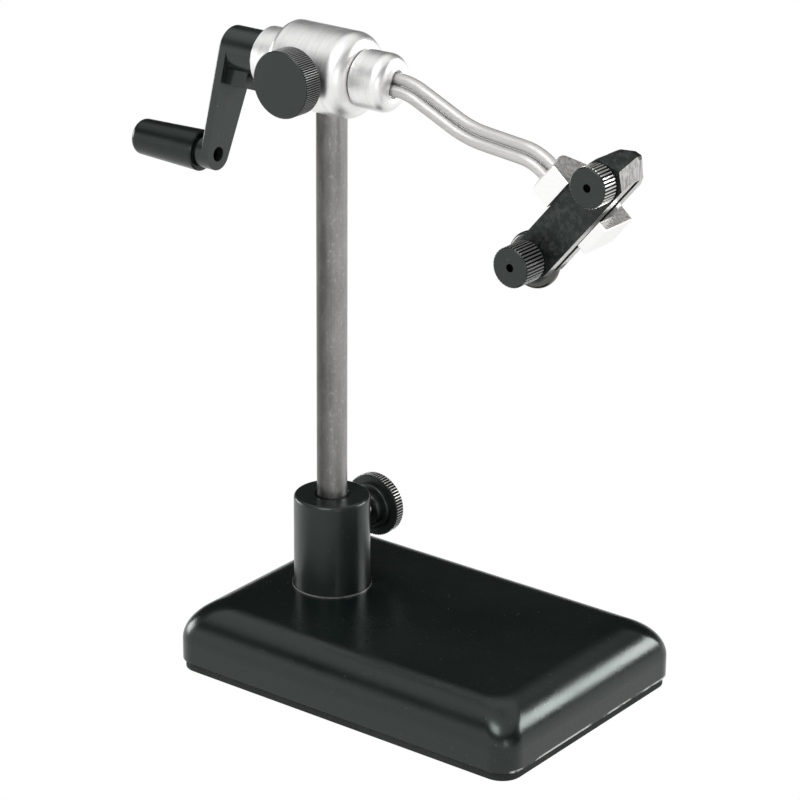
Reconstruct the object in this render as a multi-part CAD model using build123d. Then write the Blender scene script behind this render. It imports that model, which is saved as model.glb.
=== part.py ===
from build123d import *
import math
import os

# Rotary fly tying vise on a pedestal base.
# Lengths are in millimetres and angles in degrees.
# X runs along the base from the crank to the jaws, Y runs across it and Z is up.
# The origin is on the bench, under the middle of the base.

# Fits
fixed_clearance = 0.02
running_clearance = 0.05
thread_clearance = 0.05
small_gap = 0.3

# Base and its rubber pad
base_length = 128.6
base_width = 89.1
base_height = 18.45
base_corner_radius = 7.4
base_top_radius = 11.5
base_lower_bevel = 0.5
base_round_steps = 8
base_round_last_angle = 88.0
pad_thickness = 2.4
pad_inset = 0.9
pad_hole_radius = 9.0

# Collar on the base
collar_radius = 12.0
collar_height = 30.5
collar_top_radius = 1.1
collar_mouth_bevel = 0.8
collar_foot_radius = 12.55
collar_foot_height = 0.5
spigot_radius = 8.0
spigot_length = 13.35
socket_floor = 8.0
collar_screw_radius = 3.0
collar_screw_head_radius = 6.0
collar_screw_head_height = 3.3
collar_screw_reach = 5.5

# Post
post_radius = 4.7625
post_from_base_end = 28.04
post_lift_off_floor = 0.5
post_end_bevel = 0.6

# Tension knob's knurl, and the bevel of both hand knobs
knob_groove_count = 92
knob_groove_radius = 0.24
knob_edge_bevel = 0.35

# Clamp knob on the collar
clamp_drop = 10.95
clamp_knob_radius = 10.2
clamp_knob_thickness = 3.5
clamp_groove_count = 66
clamp_groove_radius = 0.34
clamp_flange_radius = 7.5
clamp_flange_length = 1.7
clamp_flange_edge_radius = 0.7
clamp_boss_radius = 5.7
clamp_boss_length = 2.3
clamp_knob_gap = 4.3
clamp_screw_radius = 3.0
clamp_plug_radius = 2.6
clamp_plug_length = 3.0

# Head housing and its bearings, with bores and levels as shares of its radius
axis_height = 187.75
housing_radius = 13.1
housing_length = 27.5
housing_ahead_of_post = 12.1
housing_front_radius = 4.8
housing_rear_radius = 2.0
housing_relief_share = 0.4275
bushing_share = 0.4962
bushing_length = 8.0
post_socket_share = 0.55
post_screw_radius = 1.5
post_screw_share = 0.687

# Rotor: spindle, hub and rear collar
spindle_share = 0.36355
spindle_tenon_radius = 3.5
spindle_tenon_length = 6.6
hub_radius = 8.85
hub_length = 11.5
hub_front_radius = 3.4
hub_rear_bevel = 0.6
hub_spindle_depth = 5.4
hub_pocket_depth = 1.2
hub_pocket_margin = 0.7
rear_collar_radius = 9.5
rear_collar_length = 8.6
rear_collar_bevel = 0.8
set_screw_radius = 1.5

# Hexagon sockets, as shares of the screw's radius
hex_set_share = 0.6
hex_head_share = 0.85
hex_depth_share = 0.6

# Tension knob on the near side of the housing
tension_behind_post = 2.1
tension_knob_gap = 1.9
tension_knob_radius = 10.2
tension_knob_thickness = 6.8
tension_screw_radius = 2.5
tension_plug_length = 3.0

# Crank
crank_boss_radius = 7.5
crank_boss_length = 10.45
crank_arm_thickness = 3.3
crank_pin_end_radius = 5.0
crank_throw = 32.0
crank_lean = 21.3
crank_edge_radius = 0.8
crank_lug_length = 7.4
crank_lug_width = 8.4
crank_lug_reach = 10.8
crank_pin_boss_height = 1.7
crank_screw_radius = 2.0
crank_screw_head_radius = 3.8
crank_screw_head_height = 1.8
crank_screw_reach = 6.0

# Turning grip of the crank
grip_inner_radius = 6.4
grip_outer_radius = 5.55
grip_length = 25.2
grip_end_radius = 2.0
grip_pin_radius = 2.4
grip_pin_head_radius = 3.4
grip_pin_head_height = 1.6
grip_pin_recess = 1.6
grip_washer_radius = 4.4
grip_washer_thickness = 0.9
grip_hole_radius = 2.3
grip_pin_depth_share = 0.3

# Bent rods between hub and jaw block, the far one above the near one
rod_radius = 1.785
rod_gap = 0.1
rod_roll = 25.0
rod_depth_in_hub = 5.0
rod_lead = 0.3
rod_first_radius = 21.4
rod_first_angle = 24.1
rod_middle_length = 13.556
rod_second_radius = 35.9
rod_second_angle = 5.7
rod_last_length = 13.462
rod_third_radius = 17.9
rod_end_length = 7.1
rod_screw_radius = 1.25
rod_screw_sink = 1.5

# Jaws. Places on a jaw are measured along it from the front screw and across it from its middle line.
jaw_angle = 50.0
rod_end_along = -14.89
rod_end_across = -7.08
jaw_half_width = 6.35
jaw_thickness = 3.6
jaw_plate_gap = 2.4
jaw_tip_gap = 0.1
jaw_tail_end = 42.0
jaw_tail_half_width = 2.4
jaw_tail_shoulder = 36.8
jaw_taper_start = 0.5
jaw_bend_along = 3.8
jaw_bend_half_width = 5.6
jaw_nose_upper_start = 6.7
jaw_nose_half_width = 4.4
jaw_tip_point = 12.4
jaw_tip_point_across = 1.9
jaw_nose_lower_start = 7.4
jaw_tip_reach = 11.9
jaw_tip_upper = -0.2
jaw_tip_lower = 2.8
jaw_lip_start = 6.6
jaw_ridge_start = 7.0
jaw_ridge_across = 1.9
jaw_bevel_side_start = 3.4
jaw_tip_edge_depth = 0.8
tail_pad_radius = 8.7
tail_pad_along = 41.1
tail_pad_across = -1.2
tail_pad_rim_radius = 1.5

# Jaw screws
screw_pitch_distance = 35.9
jaw_knob_radius = 6.1
jaw_knob_groove_count = 36
jaw_knob_groove_radius = 0.3
jaw_knob_bevel = 0.45
jaw_knob_hole_radius = 1.25
jaw_knob_hole_depth = 1.5
front_knob_length = 6.1
front_washer_radius = 5.4
front_washer_thickness = 0.7
front_washer_land_radius = 2.8
front_washer_relief = 0.2
front_washer_gap = 0.2
front_stud_radius = 2.0
front_stud_reach = 4.0
jaw_stud_hole_clearance = 0.4
rear_knob_length = 8.8
rear_neck_radius = 4.9
rear_neck_length = 1.5
rear_screw_radius = 2.5
rear_tip_gap = 0.05

# Jaw block. Its rod end is rounded and slanted, its other end is square.
block_width = 11.1
block_back_thickness = 2.5
block_front_rise = 1.55
block_along = -13.6
block_plain_end = 11.0
block_rod_end = 15.1
block_rod_end_half_flat = 1.2
block_near_corner = 13.1
block_far_corner = 9.3
block_end_radius = 2.2
block_edge_bevel = 0.3
slot_upper_gap = 0.15
slot_lower_gap = 1.5
block_screw_radius = 1.5
block_screw_head_radius = 2.8
block_screw_head_height = 1.6

# Derived levels and directions
post_x = post_from_base_end - base_length / 2
base_top = pad_thickness + base_height
collar_top = base_top + collar_height
spigot_bottom = base_top - spigot_length
socket_bottom = spigot_bottom + socket_floor
post_bottom = socket_bottom + post_lift_off_floor
housing_relief_radius = housing_radius * housing_relief_share
bushing_radius = housing_radius * bushing_share
spindle_radius = housing_radius * spindle_share
post_socket_below_axis = housing_radius * post_socket_share
post_screw_below_axis = housing_radius * post_screw_share
post_top = axis_height - post_socket_below_axis - fixed_clearance
clamp_height = collar_top - clamp_drop
housing_front = post_x + housing_ahead_of_post
housing_rear = housing_front - housing_length
hub_rear = housing_front + small_gap
hub_front = hub_rear + hub_length
collar_front = housing_rear - small_gap
collar_rear = collar_front - rear_collar_length
boss_front = collar_rear - fixed_clearance
arm_front = boss_front - crank_boss_length
arm_rear = arm_front - crank_arm_thickness
tension_x = post_x - tension_behind_post
pin_y = -crank_throw * math.sin(math.radians(crank_lean))
pin_z = axis_height - crank_throw * math.cos(math.radians(crank_lean))
rod_spread = 2 * rod_radius + rod_gap
rod_offset_y = rod_spread / 2 * math.sin(math.radians(rod_roll))
rod_offset_up = rod_spread / 2 * math.cos(math.radians(rod_roll))
along_x = Vector(1, 0, 0)
along_y = Vector(0, 1, 0)
along_z = Vector(0, 0, 1)

jaw_cosine = math.cos(math.radians(jaw_angle))
jaw_sine = math.sin(math.radians(jaw_angle))
jaw_direction = Vector(jaw_cosine, 0, jaw_sine)
across_direction = Vector(jaw_sine, 0, -jaw_cosine)
jaw_inner = jaw_plate_gap / 2
jaw_outer = jaw_inner + jaw_thickness
jaw_lip = jaw_tip_gap / 2

bottom_align = (Align.CENTER, Align.CENTER, Align.MIN)


def bar(start, direction, radius, length):
    """Round bar from a start point along a direction."""
    return Plane(origin=start, z_dir=direction) * Cylinder(radius, length, align=bottom_align)


def cone(start, direction, start_radius, end_radius, length):
    """Tapered round bar from a start point along a direction."""
    return Plane(origin=start, z_dir=direction) * Cone(start_radius, end_radius, length, align=bottom_align)


def bar_x(start_x, end_x, radius):
    """Round bar on the axis of rotation between two places along X."""
    return bar((start_x, 0, axis_height), along_x, radius, end_x - start_x)


def hex_socket(start, direction, screw_radius, size_share):
    """Hexagon hole for a key, from the end face of a screw along a direction."""
    outline = RegularPolygon(screw_radius * size_share, 6)
    return Plane(origin=start, z_dir=direction) * extrude(outline, screw_radius * hex_depth_share)


def end_rim(solid, axis, at_end):
    """Outermost circular edges at one end of a round solid."""
    rims = solid.edges().filter_by(GeomType.CIRCLE)
    group = rims.group_by(axis)[-1 if at_end else 0]
    return group.sort_by(SortBy.RADIUS)[-1]


def knurled_disc(radius, length, groove_count, groove_radius, bevel):
    """Disc with straight grooves round its rim and bevelled ends, standing on its own XY plane."""
    outline = Circle(radius) - PolarLocations(radius, groove_count) * Circle(groove_radius)
    disc = extrude(outline, length)
    envelope = Cylinder(radius, length, align=bottom_align)
    return disc & chamfer(envelope.edges().filter_by(GeomType.CIRCLE), bevel)


def base_outline(angle, side_top):
    """Outline of the base part of the way round its top edge: 0 degrees at the side, 90 at the top."""
    share = math.cos(math.radians(angle))
    inset = base_top_radius * (1 - share)
    level = side_top + base_top_radius * math.sin(math.radians(angle))
    outline = RectangleRounded(base_length - 2 * inset, base_width - 2 * inset, base_corner_radius)
    return Pos(0, 0, level) * outline


def rod_path(side):
    """Centre line of the near rod for side -1, the far rod for 1 and the middle of both for 0."""
    offset_y = side * rod_offset_y
    offset_up = side * rod_offset_up
    slopes = [0.0, rod_first_angle, rod_second_angle, 90 - jaw_angle]
    radii = [rod_first_radius, rod_second_radius, rod_third_radius]
    straights = [rod_depth_in_hub + rod_lead, rod_middle_length, rod_last_length, rod_end_length]
    x = hub_front - rod_depth_in_hub
    z = axis_height + offset_up
    edges = []
    for number, straight in enumerate(straights):
        slope = math.radians(slopes[number])
        end_x = x + straight * math.cos(slope)
        end_z = z - straight * math.sin(slope)
        edges.append(Line((x, offset_y, z), (end_x, offset_y, end_z)))
        x, z = end_x, end_z
        if number < len(radii):
            turn = math.radians(slopes[number + 1]) - slope
            bend = math.copysign(radii[number], turn) + offset_up
            half = slope + turn / 2
            full = slope + turn
            middle_x = x + bend * (math.sin(half) - math.sin(slope))
            middle_z = z + bend * (math.cos(half) - math.cos(slope))
            end_x = x + bend * (math.sin(full) - math.sin(slope))
            end_z = z + bend * (math.cos(full) - math.cos(slope))
            middle = (middle_x, offset_y, middle_z)
            edges.append(ThreePointArc((x, offset_y, z), middle, (end_x, offset_y, end_z)))
            x, z = end_x, end_z
    return Wire(edges)


def rod_solid(side):
    """Bent rod on one side of the middle line."""
    path = rod_path(side)
    profile = Plane(origin=path @ 0, z_dir=path % 0) * Circle(rod_radius)
    return sweep(profile, path=path)


def jaw_bar(along, across, start_y, end_y, radius):
    """Round bar through the jaws, square to their plates, between two places along Y."""
    start = jaw_frame.from_local_coords(Vector(along, across, 0)) + along_y * start_y
    return bar(start, along_y, radius, end_y - start_y)


def jaw_box(along_low, along_high, across_low, across_high, low_y, high_y):
    """Box in the jaw frame."""
    size = (along_high - along_low, across_high - across_low, high_y - low_y)
    centre = ((along_low + along_high) / 2, (across_low + across_high) / 2, (low_y + high_y) / 2)
    return jaw_frame * (Pos(*centre) * Box(*size))


def jaw_prism(points, low_y, high_y):
    """Prism on an outline given in the jaw frame."""
    face = make_face(Polyline(*points, close=True))
    return jaw_frame * (Pos(0, 0, low_y) * extrude(face, high_y - low_y))


def half_space(points):
    """Large block on the near side of a plane through three places in the jaw frame."""
    first, second, third = (Vector(*point) for point in points)
    normal = (second - first).cross(third - first)
    if normal.Z > 0:
        normal = normal * -1
    reach = jaw_tail_end
    return jaw_frame * (Plane(origin=first, z_dir=normal) * Box(reach, reach, reach, align=bottom_align))


# Jaw frame, placed by the end of the rods. Its X runs along the jaw to its tip, its Y across the jaw and
# its Z away from the near side.
rod_end = rod_path(0) @ 1
front_screw_place = rod_end - jaw_direction * rod_end_along - across_direction * rod_end_across
jaw_frame = Plane(origin=front_screw_place, x_dir=jaw_direction, z_dir=along_y)

# Base casting: plate with rounded corners and top edges, a bore for the collar and a countersink below
base_side_height = base_height - base_top_radius
base_casting = extrude(base_outline(0, pad_thickness), base_side_height)
base_casting = chamfer(base_casting.faces().sort_by(Axis.Z)[0].edges(), base_lower_bevel)
base_levels = [base_round_last_angle * step / base_round_steps for step in range(base_round_steps + 1)]
base_casting += loft([base_outline(angle, pad_thickness + base_side_height) for angle in base_levels])
base_casting -= bar((post_x, 0, spigot_bottom), along_z, spigot_radius + fixed_clearance, spigot_length)
base_casting -= bar((post_x, 0, pad_thickness), along_z, collar_screw_radius + fixed_clearance, base_height)
base_casting -= cone((post_x, 0, pad_thickness), along_z, collar_screw_head_radius + fixed_clearance,
                     collar_screw_radius + fixed_clearance, collar_screw_head_height)

# Rubber pad, with a hole under the collar screw
base_pad = Box(base_length - 2 * pad_inset, base_width - 2 * pad_inset, pad_thickness, align=bottom_align)
base_pad = fillet(base_pad.edges().filter_by(Axis.Z), base_corner_radius - pad_inset)
base_pad -= bar((post_x, 0, 0), along_z, pad_hole_radius, pad_thickness)

# Collar: socket for the post with a spigot in the base and a tapped hole for the clamp screw
collar = bar((post_x, 0, base_top), along_z, collar_radius, collar_height)
collar = fillet(end_rim(collar, Axis.Z, True), collar_top_radius)
collar += bar((post_x, 0, base_top), along_z, collar_foot_radius, collar_foot_height)
collar += bar((post_x, 0, spigot_bottom), along_z, spigot_radius, spigot_length)
socket_radius = post_radius + running_clearance
collar -= bar((post_x, 0, socket_bottom), along_z, socket_radius, collar_top - socket_bottom)
collar -= cone((post_x, 0, collar_top - collar_mouth_bevel), along_z, socket_radius,
               socket_radius + collar_mouth_bevel, collar_mouth_bevel)
collar -= bar((post_x, 0, spigot_bottom), along_z, collar_screw_radius + fixed_clearance, socket_floor)
collar -= bar((post_x, 0, clamp_height), along_y, clamp_screw_radius + thread_clearance, collar_foot_radius)

# Flat head screw that holds the collar
collar_screw = cone((post_x, 0, pad_thickness), along_z, collar_screw_head_radius, collar_screw_radius,
                    collar_screw_head_height)
collar_screw += bar((post_x, 0, pad_thickness), along_z, collar_screw_radius,
                    spigot_bottom + collar_screw_reach - pad_thickness)
collar_screw -= hex_socket((post_x, 0, pad_thickness), along_z, collar_screw_radius, hex_head_share)

# Post
post = bar((post_x, 0, post_bottom), along_z, post_radius, post_top - post_bottom)
post = chamfer(post.edges().filter_by(GeomType.CIRCLE), post_end_bevel)

# Clamp knob with its stud and plug, on the far side of the collar
clamp_plug_start = post_radius + running_clearance
clamp_plug = bar((post_x, clamp_plug_start, clamp_height), along_y, clamp_plug_radius, clamp_plug_length)
clamp_stud_start = clamp_plug_start + clamp_plug_length + fixed_clearance
clamp_boss_start = collar_radius + clamp_knob_gap
clamp_flange_start = clamp_boss_start + clamp_boss_length
clamp_disc_start = clamp_flange_start + clamp_flange_length
clamp_disc_plane = Plane(origin=(post_x, clamp_disc_start, clamp_height), z_dir=along_y)
clamp_knob = clamp_disc_plane * knurled_disc(clamp_knob_radius, clamp_knob_thickness, clamp_groove_count,
                                             clamp_groove_radius, knob_edge_bevel)
clamp_flange = bar((post_x, clamp_flange_start, clamp_height), along_y, clamp_flange_radius,
                   clamp_flange_length)
clamp_knob += fillet(end_rim(clamp_flange, Axis.Y, False), clamp_flange_edge_radius)
clamp_boss = bar((post_x, clamp_boss_start, clamp_height), along_y, clamp_boss_radius, clamp_boss_length)
clamp_knob += chamfer(end_rim(clamp_boss, Axis.Y, False), knob_edge_bevel)
clamp_knob -= bar((post_x, clamp_boss_start, clamp_height), along_y, clamp_screw_radius + fixed_clearance,
                  clamp_disc_start - clamp_boss_start)
clamp_screw = bar((post_x, clamp_stud_start, clamp_height), along_y, clamp_screw_radius,
                  clamp_disc_start - clamp_stud_start)

# Head housing: barrel with a rounded nose, bearing bores, post socket and two screw holes
head_housing = bar_x(housing_rear, housing_front, housing_radius)
head_housing = fillet(end_rim(head_housing, Axis.X, True), housing_front_radius)
head_housing = fillet(end_rim(head_housing, Axis.X, False), housing_rear_radius)
head_housing -= bar_x(housing_rear, housing_front, housing_relief_radius)
bushing_seat_radius = bushing_radius + fixed_clearance
head_housing -= bar_x(housing_front - bushing_length, housing_front, bushing_seat_radius)
head_housing -= bar_x(housing_rear, housing_rear + bushing_length, bushing_seat_radius)
head_housing -= bar((post_x, 0, axis_height - housing_radius), along_z, post_radius + running_clearance,
                    housing_radius - post_socket_below_axis)
head_housing -= bar((post_x, 0, axis_height - post_screw_below_axis), along_y,
                    post_screw_radius + thread_clearance, housing_radius)
head_housing -= bar((tension_x, 0, axis_height), -along_y, tension_screw_radius + thread_clearance,
                    housing_radius)

# Spindle bushings
bushing_bore_radius = spindle_radius + running_clearance
front_bushing = bar_x(housing_front - bushing_length, housing_front, bushing_radius)
front_bushing -= bar_x(housing_front - bushing_length, housing_front, bushing_bore_radius)
rear_bushing = bar_x(housing_rear, housing_rear + bushing_length, bushing_radius)
rear_bushing -= bar_x(housing_rear, housing_rear + bushing_length, bushing_bore_radius)

# Set screw between housing and post, cut to the curve of the housing
post_screw_start = post_radius + running_clearance
post_screw = bar((post_x, post_screw_start, axis_height - post_screw_below_axis), along_y, post_screw_radius,
                 housing_radius)
post_screw &= bar_x(housing_rear, housing_front, housing_radius - small_gap)

# Spindle with a thinner tenon for the crank
spindle_front = hub_rear + hub_spindle_depth
crank_screw_hole_radius = crank_screw_radius + fixed_clearance
spindle = bar_x(collar_rear, spindle_front, spindle_radius)
spindle += bar_x(collar_rear - spindle_tenon_length, collar_rear, spindle_tenon_radius)
spindle -= bar_x(collar_rear - spindle_tenon_length, collar_rear - spindle_tenon_length + crank_screw_reach,
                 crank_screw_hole_radius)

# Hub: nose with a rounded front edge and an oblong mortise for the rods, wider at its mouth
hub = bar_x(hub_rear, hub_front, hub_radius)
hub = fillet(end_rim(hub, Axis.X, True), hub_front_radius)
hub = chamfer(end_rim(hub, Axis.X, False), hub_rear_bevel)
hub -= bar_x(hub_rear, spindle_front + fixed_clearance, spindle_radius + fixed_clearance)
rod_pair_side = along_y * math.sin(math.radians(rod_roll))
rod_pair_rise = math.cos(math.radians(rod_roll))
pocket_outline = SlotCenterToCenter(rod_spread, 2 * (rod_radius + hub_pocket_margin))
mortise_outline = SlotCenterToCenter(rod_spread, 2 * (rod_radius + running_clearance))
pocket_plane = Plane(origin=(hub_front, 0, axis_height), x_dir=rod_pair_side + along_z * rod_pair_rise,
                     z_dir=-along_x)
hub -= pocket_plane * extrude(pocket_outline, hub_pocket_depth)
hub -= pocket_plane * extrude(mortise_outline, rod_depth_in_hub + fixed_clearance)

# Rear collar on the spindle
rear_collar = bar_x(collar_rear, collar_front, rear_collar_radius)
rear_collar = chamfer(rear_collar.edges().filter_by(GeomType.CIRCLE), rear_collar_bevel)
rear_collar -= bar_x(collar_rear, collar_front, spindle_radius + fixed_clearance)

# Set screws that fix rear collar and hub to the spindle, from below
rotor_screw_places = [(collar_rear + rear_collar_length / 2, rear_collar_radius),
                      (hub_rear + hub_spindle_depth / 2, hub_radius)]
rotor_screw_list = []
for screw_x, outer_radius in rotor_screw_places:
    hole_start = (screw_x, 0, axis_height - spindle_radius - fixed_clearance)
    hole = bar(hole_start, -along_z, set_screw_radius + fixed_clearance, outer_radius)
    length = outer_radius - spindle_radius - small_gap
    screw = bar(hole_start, -along_z, set_screw_radius, length)
    screw_end = (screw_x, 0, hole_start[2] - length)
    rotor_screw_list.append(screw - hex_socket(screw_end, along_z, set_screw_radius, hex_set_share))
    rear_collar -= hole
    hub -= hole
rotor_set_screws = Compound(children=rotor_screw_list)

# Bent rods
near_rod = rod_solid(-1)
far_rod = rod_solid(1)

# Jaw block: bar across the jaws, with a channel that holds them and a mortise for the rods
block_near = -jaw_outer - block_front_rise
block_far = jaw_outer + block_back_thickness
block_low = block_along - block_width / 2
block_plane = Plane(origin=jaw_frame.from_local_coords(Vector(block_low, 0, 0)), x_dir=across_direction,
                    z_dir=jaw_direction)
rod_end_points = [(-block_near_corner, block_near), (-block_rod_end, -block_rod_end_half_flat),
                  (-block_rod_end, block_rod_end_half_flat), (-block_far_corner, block_far)]
block_points = [(block_plain_end, block_near), *rod_end_points, (block_plain_end, block_far)]
block_outline = make_face(Polyline(*block_points, close=True))
block_outline = fillet(block_outline.vertices().sort_by(Axis.X)[:2], block_end_radius)
jaw_block = block_plane * extrude(block_outline, block_width)
block_ends = jaw_block.faces().sort_by(Axis((0, 0, 0), tuple(jaw_direction)))
jaw_block = chamfer(block_ends[0].edges() + block_ends[-1].edges(), block_edge_bevel)
slot_upper = -jaw_half_width - slot_upper_gap
slot_lower = jaw_half_width + slot_lower_gap
jaw_block -= jaw_box(block_along - block_width, block_along + block_width, slot_upper, slot_lower, block_near,
                     jaw_outer)
mortise_plane = Plane(origin=rod_end + across_direction * fixed_clearance,
                      x_dir=rod_pair_side + jaw_direction * rod_pair_rise, z_dir=-across_direction)
jaw_block -= mortise_plane * extrude(mortise_outline, block_rod_end)

# Set screws that hold the rods: one from below in the hub, two from the far side in the block
hub_screw_start = Vector(hub_front - rod_depth_in_hub / 2 - hub_pocket_depth / 2, -rod_offset_y,
                         axis_height - rod_offset_up - rod_radius - fixed_clearance)
hub_screw_end = math.sqrt(hub_radius ** 2 - (rod_offset_y + rod_screw_radius) ** 2)
hub_screw_length = hub_screw_end - rod_offset_up - rod_radius - small_gap
rod_screw_across = slot_upper - 2 * rod_screw_radius
rod_screw_places = [(hub_screw_start, -along_z, hub_screw_length)]
for side in (-1, 1):
    screw_y = side * rod_offset_y + rod_radius + fixed_clearance
    local = Vector(rod_end_along + side * rod_offset_up, rod_screw_across, screw_y)
    rod_screw_places.append((jaw_frame.from_local_coords(local), along_y, block_far - rod_screw_sink - screw_y))
rod_screw_list = []
for start, direction, length in rod_screw_places:
    hole = bar(start, direction, rod_screw_radius + fixed_clearance, hub_radius)
    hub -= hole
    jaw_block -= hole
    screw = bar(start, direction, rod_screw_radius, length)
    socket = hex_socket(start + direction * length, -direction, rod_screw_radius, hex_set_share)
    rod_screw_list.append(screw - socket)
rod_set_screws = Compound(children=rod_screw_list)

# Tension knob with its stud and plug, on the near side of the housing
tension_plug_start = spindle_radius + running_clearance
tension_plug = bar((tension_x, -tension_plug_start, axis_height), -along_y, tension_screw_radius,
                   tension_plug_length)
tension_stud_start = tension_plug_start + tension_plug_length + fixed_clearance
tension_disc_start = housing_radius + tension_knob_gap
tension_disc_plane = Plane(origin=(tension_x, -tension_disc_start, axis_height), z_dir=-along_y)
tension_disc = knurled_disc(tension_knob_radius, tension_knob_thickness, knob_groove_count, knob_groove_radius,
                            knob_edge_bevel)
tension_knob = tension_disc_plane * tension_disc
tension_hole_depth = tension_knob_thickness / 2
tension_knob -= bar((tension_x, -tension_disc_start, axis_height), -along_y,
                    tension_screw_radius + fixed_clearance, tension_hole_depth)
tension_screw = bar((tension_x, -tension_stud_start, axis_height), -along_y, tension_screw_radius,
                    tension_disc_start + tension_hole_depth - tension_stud_start)

# Crank arm: flat bar with round ends, a boss on the spindle, a clamping lug and a pin boss
arm_direction = Vector(0, pin_y, pin_z - axis_height)
arm_frame = Plane(origin=(arm_rear, 0, axis_height), x_dir=arm_direction, z_dir=along_x)
arm_ends = [Circle(crank_boss_radius).edge(), (Pos(crank_throw, 0) * Circle(crank_pin_end_radius)).edge()]
arm_outline = make_hull(arm_ends)
crank_arm = arm_frame * extrude(arm_outline, crank_arm_thickness)
crank_arm = fillet(crank_arm.faces().sort_by(Axis.X)[0].edges(), crank_edge_radius)
crank_arm += bar_x(arm_front, boss_front, crank_boss_radius)
lug = Box(crank_lug_reach, crank_lug_width, crank_lug_length, align=bottom_align)
crank_arm += arm_frame * (Pos(crank_lug_reach / 2, 0, crank_arm_thickness) * lug)
crank_arm += bar((arm_front, pin_y, pin_z), -along_x, crank_pin_end_radius,
                 crank_arm_thickness + crank_pin_boss_height)
crank_arm -= bar_x(boss_front - spindle_tenon_length, boss_front, spindle_tenon_radius + fixed_clearance)
crank_arm -= bar_x(arm_rear, boss_front, crank_screw_hole_radius)
crank_arm -= bar_x(arm_rear, arm_rear + crank_screw_head_height, crank_screw_head_radius + fixed_clearance)
crank_arm -= bar((arm_rear - crank_pin_boss_height, pin_y, pin_z), along_x, grip_hole_radius,
                 crank_arm_thickness + crank_pin_boss_height)

# Screw that holds the crank on the spindle
crank_screw_end = collar_rear - spindle_tenon_length + crank_screw_reach - small_gap
crank_screw = bar_x(arm_rear, arm_rear + crank_screw_head_height, crank_screw_head_radius)
crank_screw += bar_x(arm_rear, crank_screw_end, crank_screw_radius)
crank_screw -= hex_socket((arm_rear, 0, axis_height), along_x, crank_screw_radius, hex_head_share)

# Grip, its washer and its shoulder screw
pin_boss_rear = arm_rear - crank_pin_boss_height
washer_rear = pin_boss_rear - fixed_clearance - grip_washer_thickness
grip_front = washer_rear - running_clearance
grip_rear = grip_front - grip_length
grip_washer = bar((washer_rear, pin_y, pin_z), along_x, grip_washer_radius, grip_washer_thickness)
grip_washer -= bar((washer_rear, pin_y, pin_z), along_x, grip_pin_radius + fixed_clearance,
                   grip_washer_thickness)
grip = cone((grip_rear, pin_y, pin_z), along_x, grip_outer_radius, grip_inner_radius, grip_length)
grip = fillet(end_rim(grip, Axis.X, False), grip_end_radius)
grip = chamfer(end_rim(grip, Axis.X, True), crank_edge_radius / 2)
grip -= bar((grip_rear, pin_y, pin_z), along_x, grip_pin_radius + running_clearance, grip_length)
pin_head_seat = grip_pin_recess + grip_pin_head_height + running_clearance
grip -= bar((grip_rear, pin_y, pin_z), along_x, grip_pin_head_radius + running_clearance, pin_head_seat)
pin_head_rear = grip_rear + grip_pin_recess
pin_shoulder_end = pin_boss_rear
pin_end = arm_rear + crank_arm_thickness * grip_pin_depth_share
grip_pin = bar((pin_head_rear, pin_y, pin_z), along_x, grip_pin_head_radius, grip_pin_head_height)
grip_pin += bar((pin_head_rear, pin_y, pin_z), along_x, grip_pin_radius, pin_shoulder_end - pin_head_rear)
grip_pin += bar((pin_head_rear, pin_y, pin_z), along_x, grip_hole_radius - fixed_clearance,
                pin_end - pin_head_rear)
grip_pin -= hex_socket((pin_head_rear, pin_y, pin_z), along_x, grip_pin_radius, hex_head_share)

# Jaws: plates with a bevelled nose; only the lips at the tip meet
jaw_outline = [(-jaw_tail_end, -jaw_tail_half_width), (-jaw_tail_shoulder, -jaw_half_width),
               (jaw_taper_start, -jaw_half_width), (jaw_bend_along, -jaw_bend_half_width),
               (jaw_nose_upper_start, -jaw_nose_half_width), (jaw_tip_reach, jaw_tip_upper),
               (jaw_tip_point, jaw_tip_point_across), (jaw_tip_reach, jaw_tip_lower),
               (jaw_nose_lower_start, jaw_half_width),
               (-jaw_tail_shoulder, jaw_half_width), (-jaw_tail_end, jaw_tail_half_width)]
ridge = (jaw_ridge_start, jaw_ridge_across, -jaw_outer)
lower_bevel = [ridge, (jaw_bevel_side_start, jaw_half_width, -jaw_outer),
               (jaw_tip_reach, jaw_tip_lower, -jaw_tip_edge_depth)]
upper_bevel = [ridge, (jaw_bevel_side_start, -jaw_half_width, -jaw_outer),
               (jaw_tip_reach, jaw_tip_upper, -jaw_tip_edge_depth)]
plain_jaw = jaw_prism(jaw_outline, -jaw_outer, -jaw_lip)
plain_jaw -= jaw_box(-2 * jaw_tail_end, jaw_lip_start, -2 * jaw_half_width, 2 * jaw_half_width, -jaw_inner, 0)
plain_jaw -= half_space(lower_bevel)
plain_jaw -= half_space(upper_bevel)
near_jaw = plain_jaw - jaw_bar(0, 0, -jaw_outer, 0, front_stud_radius + jaw_stud_hole_clearance)
near_jaw -= jaw_bar(-screw_pitch_distance, 0, -jaw_outer, 0, rear_screw_radius + jaw_stud_hole_clearance)
far_jaw = mirror(plain_jaw, about=Plane.XZ)
tail_pad = jaw_bar(-tail_pad_along, tail_pad_across, jaw_inner, jaw_outer, tail_pad_radius)
far_jaw += fillet(tail_pad.edges().filter_by(GeomType.CIRCLE), tail_pad_rim_radius)
far_jaw -= jaw_bar(0, 0, jaw_inner, jaw_outer, front_stud_radius + fixed_clearance)

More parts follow.
